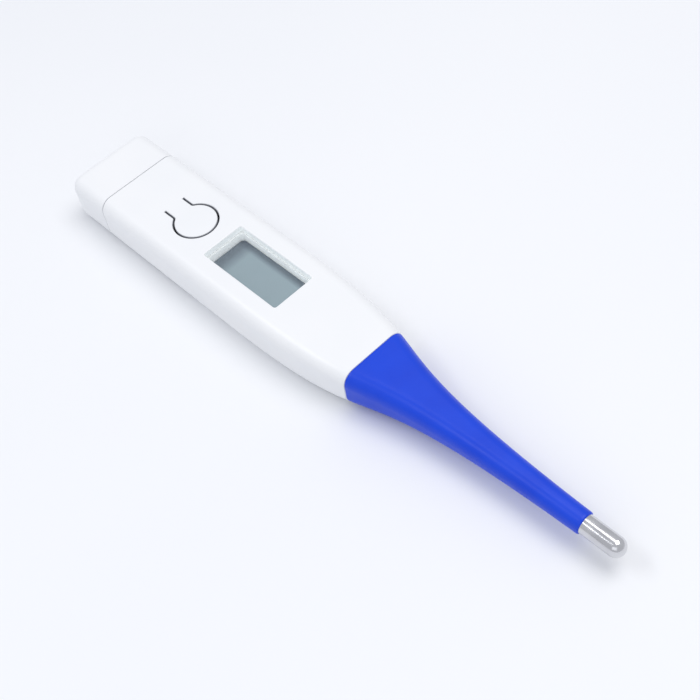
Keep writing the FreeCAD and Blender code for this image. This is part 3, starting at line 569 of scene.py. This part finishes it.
def stem_ring(station, inset=0.0):
    """The rounded cross-section at a station, moved inwards, as points in the frame."""
    wide, tall = curve_at(WIDTH_CURVE, station), curve_at(HEIGHT_CURVE, station)
    full, least = HEIGHT_CURVE[0][1], HEIGHT_CURVE[-1][1]
    progress = (full - tall) / (full - least)
    corner = tall * (CORNER_SHARES[0] + (CORNER_SHARES[1] - CORNER_SHARES[0]) * progress)
    radius = max(corner - inset, LEAST_CORNER)
    outline = rounded_outline(wide - inset, tall - inset, radius, arc_steps=10, side_steps=5)
    return [Vector((x_at(station), across * MM, MIDDLE_Z + up * MM)) for across, up in outline]


def bore_ring(station, radius):
    """A round ring with its points at the angles of the cross-section there."""
    ring = []
    for point in stem_ring(station):
        outward = Vector((0, point.y, point.z - MIDDLE_Z)).normalized()
        ring.append(Vector((point.x, 0, MIDDLE_Z)) + outward * radius * MM)
    return ring


def stations_between(start, end, pitch=RING_PITCH):
    steps = max(1, round((end - start) / pitch))
    return [start + (end - start) * i / steps for i in range(steps + 1)]


def bore_back(start, end, radius):
    """Rings of the bore, from the end back to the start."""
    return [bore_ring(station, radius) for station in stations_between(start, end)[::-1]]


def rounded_end(station, radius, way):
    """Rings that round off an end of the stem; way is 1 at its start and -1 at its end."""
    arc = [(station + way * along, inset) for along, inset in corner_arc(radius, END_STEPS)]
    return [stem_ring(*pair) for pair in arc[::way]]


def stem_rings(index, start, end):
    """Rings of one hollow length of stem: out along its skin, back along its bore."""
    first, last = index == 0, index == len(CHAIN) - 2
    outer_start = start + EDGE_ROUND if first else start
    outer_end = end - TIP_ROUND if last else end
    rings = [stem_ring(station) for station in stations_between(outer_start, outer_end)]
    if first:
        rings = rounded_end(start, EDGE_ROUND, 1)[:-1] + rings
        rings += bore_back(NOSE_END, end, BORE)
        rings += [stem_ring(station, NOSE_INSET) for station in stations_between(start, NOSE_END)[::-1]]
    elif last:
        rings += rounded_end(end, TIP_ROUND, -1)[1:]
        rings += bore_back(CAP_ROOT_START, end, CAP_ROOT)
        rings += bore_back(start, CAP_ROOT_START, BORE)
    else:
        rings += bore_back(start, end, BORE)
    return rings


def hinge_cuts():
    """Stations of the stem's hinges, and where it is divided: its ends, and halfway between hinges."""
    stem_joints = [joint for joint in frame["joints"] if joint["child"] in CHAIN]
    places = {joint["child"]: joint["pos_m"][0] for joint in stem_joints}
    hinges = [station_at(places[body]) for body in CHAIN[1:]]
    halfway = [(near + far) / 2 for near, far in zip(hinges, hinges[1:])]
    return hinges, [STEM_START] + halfway + [STEM_END]


def bend_at_hinge(piece):
    """Bake the piece's placement into its mesh."""
    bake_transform(piece)


def make_stem():
    """The blue stem, as lengths that each span one hinge and meet end to end."""
    hinges, cuts = hinge_cuts()
    for index, (start, end) in enumerate(zip(cuts, cuts[1:])):
        mesh = bmesh.new()
        bridge(mesh, stem_rings(index, start, end), closed=True)
        piece = finish_mesh(f"stem_skin_{index + 1}", mesh, "stem_rubber")
        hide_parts("stem_root" if index == 0 else f"stem_link_{index}")
        if index == len(hinges) - 1:
            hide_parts("stem_end")
        bend_at_hinge(piece)


# ----------------------------------------------------------------------- leads

# Each lead starts low on the board, rises between two stations, and ends in the sensor's bead.
LEAD_RADIUS, LEAD_OFFSET, LEAD_LOW = 0.2, 0.35, 4.0
LEAD_START, LEAD_RISE, LEAD_MIDDLE, LEAD_END = 62.0, 65.0, 72.0, 134.85
LEAD_PITCH, LEAD_SIDES = 0.35, 12
NEARBY = 0.01  # a lead's direction is taken between points this far ahead and behind


def lead_point(station, side):
    """Middle of a lead: on the board, then up an easy S to the stem's axis."""
    share = min(1.0, max(0.0, (station - LEAD_RISE) / (LEAD_MIDDLE - LEAD_RISE)))
    lift = share * share * (3 - 2 * share)
    low = LEAD_LOW * MM
    return Vector((x_at(station), side * LEAD_OFFSET * MM, low + (MIDDLE_Z - low) * lift))


def lead_ring(station, side):
    """Points round a lead, square to its run."""
    forward = lead_point(station + NEARBY, side) - lead_point(station - NEARBY, side)
    across = Vector((0, 1, 0))
    up = forward.normalized().cross(across)
    return wire_ring(lead_point(station, side), across, up, LEAD_RADIUS * MM, LEAD_SIDES)


def make_leads():
    """Both leads to the sensor, divided like the stem around them."""
    hinges, cuts = hinge_cuts()
    cuts = [LEAD_START] + cuts[1:-1] + [LEAD_END]
    for index, (start, end) in enumerate(zip(cuts, cuts[1:])):
        mesh = bmesh.new()
        for side in (1, -1):
            rings = [lead_ring(station, side) for station in stations_between(start, end, LEAD_PITCH)]
            bridge(mesh, rings)
        piece = finish_mesh(f"leads_{index + 1}", mesh, "wire_insulation")
        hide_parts("lead_wires")
        bend_at_hinge(piece)


# ---------------------------------------------------------------------- button

# The keyhole tab: its pad, neck and root, the fillets where neck meets pad, and the rounding of its top edges.
PAD_STATION, PAD_RADIUS, NECK_HALF, ROOT_STATION = 31.0, 4.4, 2.2, 24.0
NOTCH_RADIUS, TAB_EDGE, TAB_EDGE_STEPS = 0.8, 0.2, 5
# The rubber sheet under it: its hole, edges and lip, and the share of its height left in the groove.
SHEET_HOLE, SHEET_EDGE, SHEET_LIP = 1.65, 0.12, 0.5
GROOVE_SHARE = 0.82
# The switch dome: its metal's thickness, its steps, and the share of its height kept when pressed.
DOME_METAL, DOME_STEPS, DOME_KEEP = 0.12, 14, 0.2


def tab_outline(inset):
    """Outline of the tab from above, moved inwards, as (station, across) pairs."""
    pad, half, notch = PAD_RADIUS - inset, NECK_HALF - inset, NOTCH_RADIUS + inset
    notch_across = half + notch
    notch_station = PAD_STATION - math.sqrt((pad + notch) ** 2 - notch_across**2)
    lean = math.atan2(notch_across, PAD_STATION - notch_station)
    neck_steps, notch_steps, pad_steps = 14, 8, 34
    side = []
    for i in range(neck_steps):
        side.append((ROOT_STATION + (notch_station - ROOT_STATION) * i / neck_steps, half))
    for i in range(notch_steps):
        angle = -math.pi / 2 + (math.pi / 2 - lean) * i / notch_steps
        side.append((notch_station + notch * math.cos(angle), notch_across + notch * math.sin(angle)))
    for i in range(pad_steps):
        angle = (math.pi - lean) * (1 - i / pad_steps)
        side.append((PAD_STATION + pad * math.cos(angle), pad * math.sin(angle)))
    tip = [(PAD_STATION + pad, 0.0)]
    return side + tip + [(station, -across) for station, across in reversed(side)]


def make_button_tab():
    """The press tab as one springy tongue, whose neck grows out of the housing; the real tab flexes there."""
    low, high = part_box("button_tab")
    levels = [(0.0, low.z)]
    for inset, depth in corner_arc(TAB_EDGE, TAB_EDGE_STEPS):
        levels.append((inset, high.z - depth * MM))
    mesh = bmesh.new()
    rings = []
    for inset, height in levels:
        outline = tab_outline(inset)
        rings.append([Vector((x_at(station), across * MM, height)) for station, across in outline])
    bridge(mesh, rings)
    wide = [face for face in mesh.faces if len(face.verts) > 4]
    bmesh.ops.triangulate(mesh, faces=wide)
    piece = finish_mesh("press_tab", mesh, "white_plastic")
    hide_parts("button_tab")
    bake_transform(piece)


def make_button_sheet():
    """Rubber sheet under the button: a lip that wipes the plunger, and a groove that lets it give."""
    low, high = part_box("button_seal")
    centre = Vector(((low.x + high.x) / 2, 0, low.z))
    outer, thick = (high.x - low.x) / 2, high.z - low.z
    hole, edge, lip = SHEET_HOLE * MM, SHEET_EDGE * MM, SHEET_LIP * MM
    groove = thick * GROOVE_SHARE
    profile = [(outer - edge, 0), (outer, edge), (outer, thick - edge), (outer - edge, thick)]
    profile += [(hole + 2.4 * lip, thick), (hole + 1.8 * lip, groove)]
    profile += [(hole + 1.2 * lip, groove), (hole + 0.5 * lip, thick)]
    profile += [(hole + edge, thick), (hole, thick - edge), (hole, edge), (hole + edge, 0)]
    piece = revolved("button_seal_sheet", "seal_rubber", centre, profile)
    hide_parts("button_seal")
    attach(piece, "stick")


def level_ring(centre, radius, height):
    """A level ring of points round an upright axis."""
    ring = []
    for angle in full_turn(ROUND_STEPS):
        ring.append(centre + Vector((radius * math.cos(angle), radius * math.sin(angle), height)))
    return ring


def add_cap(mesh, foot, radius, drop):
    """The cap of a sphere whose centre is `drop` below the cap's foot; returns the vertices of its rim."""
    rim = math.acos(drop / radius)
    rings = []
    for i in range(1, DOME_STEPS + 1):
        angle = rim * i / DOME_STEPS
        rings.append(level_ring(foot, radius * math.sin(angle), radius * math.cos(angle) - drop))
    rows = vertex_rows(mesh, rings)
    peak = mesh.verts.new(foot + Vector((0, 0, radius - drop)))
    for i, vertex in enumerate(rows[0]):
        mesh.faces.new((rows[0][i - 1], vertex, peak))
    for near, far in zip(rows, rows[1:]):
        join_rows(mesh, near, far)
    return rows[-1]


def make_dome():
    """Sprung metal dome of the switch: a shallow cap; on the real switch it flattens onto the board when pressed.
    """
    low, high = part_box("switch_dome")
    foot = Vector(((low.x + high.x) / 2, 0, low.z))
    half, rise = (high.x - low.x) / 2, high.z - low.z
    radius = (half**2 + rise**2) / (2 * rise)
    mesh = bmesh.new()
    outer = add_cap(mesh, foot, radius, radius - rise)
    inner = add_cap(mesh, foot, radius - DOME_METAL * MM, radius - rise)
    join_rows(mesh, outer, inner)
    piece = finish_mesh("switch_dome_cap", mesh, "sprung_steel")
    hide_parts("switch_dome")
    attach(piece, "stick")
    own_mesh(piece)


# --------------------------------------------------------------- seal and pads

COVER_SEAL_CORNER, COVER_SEAL_SIDES = 1.0, 14


def make_cover_seal():
    """Sealing ring of round section in the battery cover's groove."""
    low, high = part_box("cover_seal")
    centre = (low + high) / 2
    wire = (high.x - low.x) / 2
    half_wide, half_tall = (high.y - low.y) / 2 - wire, (high.z - low.z) / 2 - wire
    outline = rounded_outline(half_wide, half_tall, COVER_SEAL_CORNER * MM)
    along = Vector((1, 0, 0))
    mesh = bmesh.new()
    rings = []
    for i, (across, up) in enumerate(outline):
        before, after = outline[i - 1], outline[(i + 1) % len(outline)]
        forward = Vector((0, after[0] - before[0], after[1] - before[1])).normalized()
        middle = centre + Vector((0, across, up))
        rings.append(wire_ring(middle, forward.cross(along), along, wire, COVER_SEAL_SIDES))
    bridge(mesh, rings, closed=True)
    piece = finish_mesh("cover_seal_ring", mesh, "seal_rubber")
    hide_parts("cover_seal")
    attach(piece, "cover")


def make_soft_blocks():
    """Foam under the display and the striped contact strip beside it."""
    for name, slot, node, radius, edge, swell in (
        ("display_cushion_pad", "foam", "display_cushion", 1.2, 0.25, 0.12),
        ("zebra_strip", "contact_rubber", "zebra_connector", 0.3, 0.1, 0.0),
    ):
        block = cushion(name, slot, node, radius * MM, edge * MM, swell * MM)
        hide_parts(node)
        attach(block, "stick")


# ---------------------------------------------------------------------- studio


def keep_below_tip(floor):
    """Hold the floor at z = 0, or lower where the metal tip is bent down past it."""
    low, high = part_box("sensor_cap")
    radius = (high.z - low.z) / 2
    nose = bpy.data.objects.new("tip_nose", None)
    bpy.context.scene.collection.objects.link(nose)
    nose.location = (high.x - radius, 0, MIDDLE_Z)
    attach(nose, "tip")
    floor.location.z = -radius
    follow = floor.constraints.new("COPY_LOCATION")
    follow.target = nose
    follow.use_x = follow.use_y = False
    follow.use_offset = True
    limit = floor.constraints.new("LIMIT_LOCATION")
    limit.use_max_z = True
    limit.max_z = 0.0


def make_floor():
    """Plain pale table under the stick, too wide for its edges to be seen."""
    half = 4.0
    mesh = bmesh.new()
    corners = [(-half, -half), (half, -half), (half, half), (-half, half)]
    mesh.faces.new([mesh.verts.new((x, y, 0)) for x, y in corners])
    data = bpy.data.meshes.new("floor")
    mesh.to_mesh(data)
    mesh.free()
    floor = bpy.data.objects.new("floor", data)
    bpy.context.scene.collection.objects.link(floor)
    paint = Paint("floor", (0.86, 0.868, 0.885), 0.55)
    paint.mottle(120.0, (0.845, 0.855, 0.875))
    data.materials.append(paint.material)
    keep_below_tip(floor)


def add_light(name, place, size, power, colour):
    """A rectangular light that faces the middle of the stick."""
    data = bpy.data.lights.new(name, "AREA")
    data.shape = "RECTANGLE"
    data.size, data.size_y = size
    data.energy = power
    data.color = colour
    light = bpy.data.objects.new(name, data)
    light.location = place
    light.rotation_euler = (-Vector(place)).to_track_quat("-Z", "Y").to_euler()
    bpy.context.scene.collection.objects.link(light)


def make_lights():
    """A large soft key from above, a fill and an edge light from the near side, and a pale room."""
    add_light("key", place=(0.10, 0.16, 0.58), size=(0.4, 0.4), power=1.48, colour=(1.0, 0.99, 0.98))
    add_light("fill", place=(0.25, -0.45, 0.35), size=(0.5, 0.3), power=0.3, colour=(0.93, 0.96, 1.0))
    add_light("edge", place=(-0.24, -0.24, 0.48), size=(0.3, 0.1), power=0.55, colour=(0.95, 0.97, 1.0))
    world = bpy.data.worlds.new("room")
    world.use_nodes = True
    background = world.node_tree.nodes["Background"]
    background.inputs["Color"].default_value = (0.92, 0.94, 1.0, 1.0)
    background.inputs["Strength"].default_value = 0.65
    bpy.context.scene.world = world
    bpy.context.scene.view_settings.view_transform = "Standard"


def make_camera():
    """Looks down along the stick from beyond its tip, turned slightly about its own line of sight."""
    place, target = Vector((0.1185, -0.0813, 0.1839)), Vector((0.0058, -0.0002, 0.0053))
    roll = math.radians(-11.0)
    data = bpy.data.cameras.new("camera")
    data.sensor_width = 36.0
    data.lens = 62.5
    data.clip_start = 0.005
    camera = bpy.data.objects.new("camera", data)
    aim = (target - place).to_track_quat("-Z", "Y").to_matrix()
    turned = aim @ Matrix.Rotation(roll, 3, "Z")
    camera.matrix_world = Matrix.Translation(place) @ turned.to_4x4()
    bpy.context.scene.collection.objects.link(camera)
    bpy.context.scene.camera = camera


# ----------------------------------------------------------------------- build

materials = {slot: make().material for slot, make in PAINTS.items()}
for part in frame["record"]["subparts"]:
    node = frame["nodes"][part["node"]]
    node.data.materials.clear()
    node.data.materials.append(materials[part["material_slot"]])

make_stem()
make_leads()
make_button_tab()
make_dome()
make_button_sheet()
make_cover_seal()
make_soft_blocks()
make_floor()
make_lights()
make_camera()
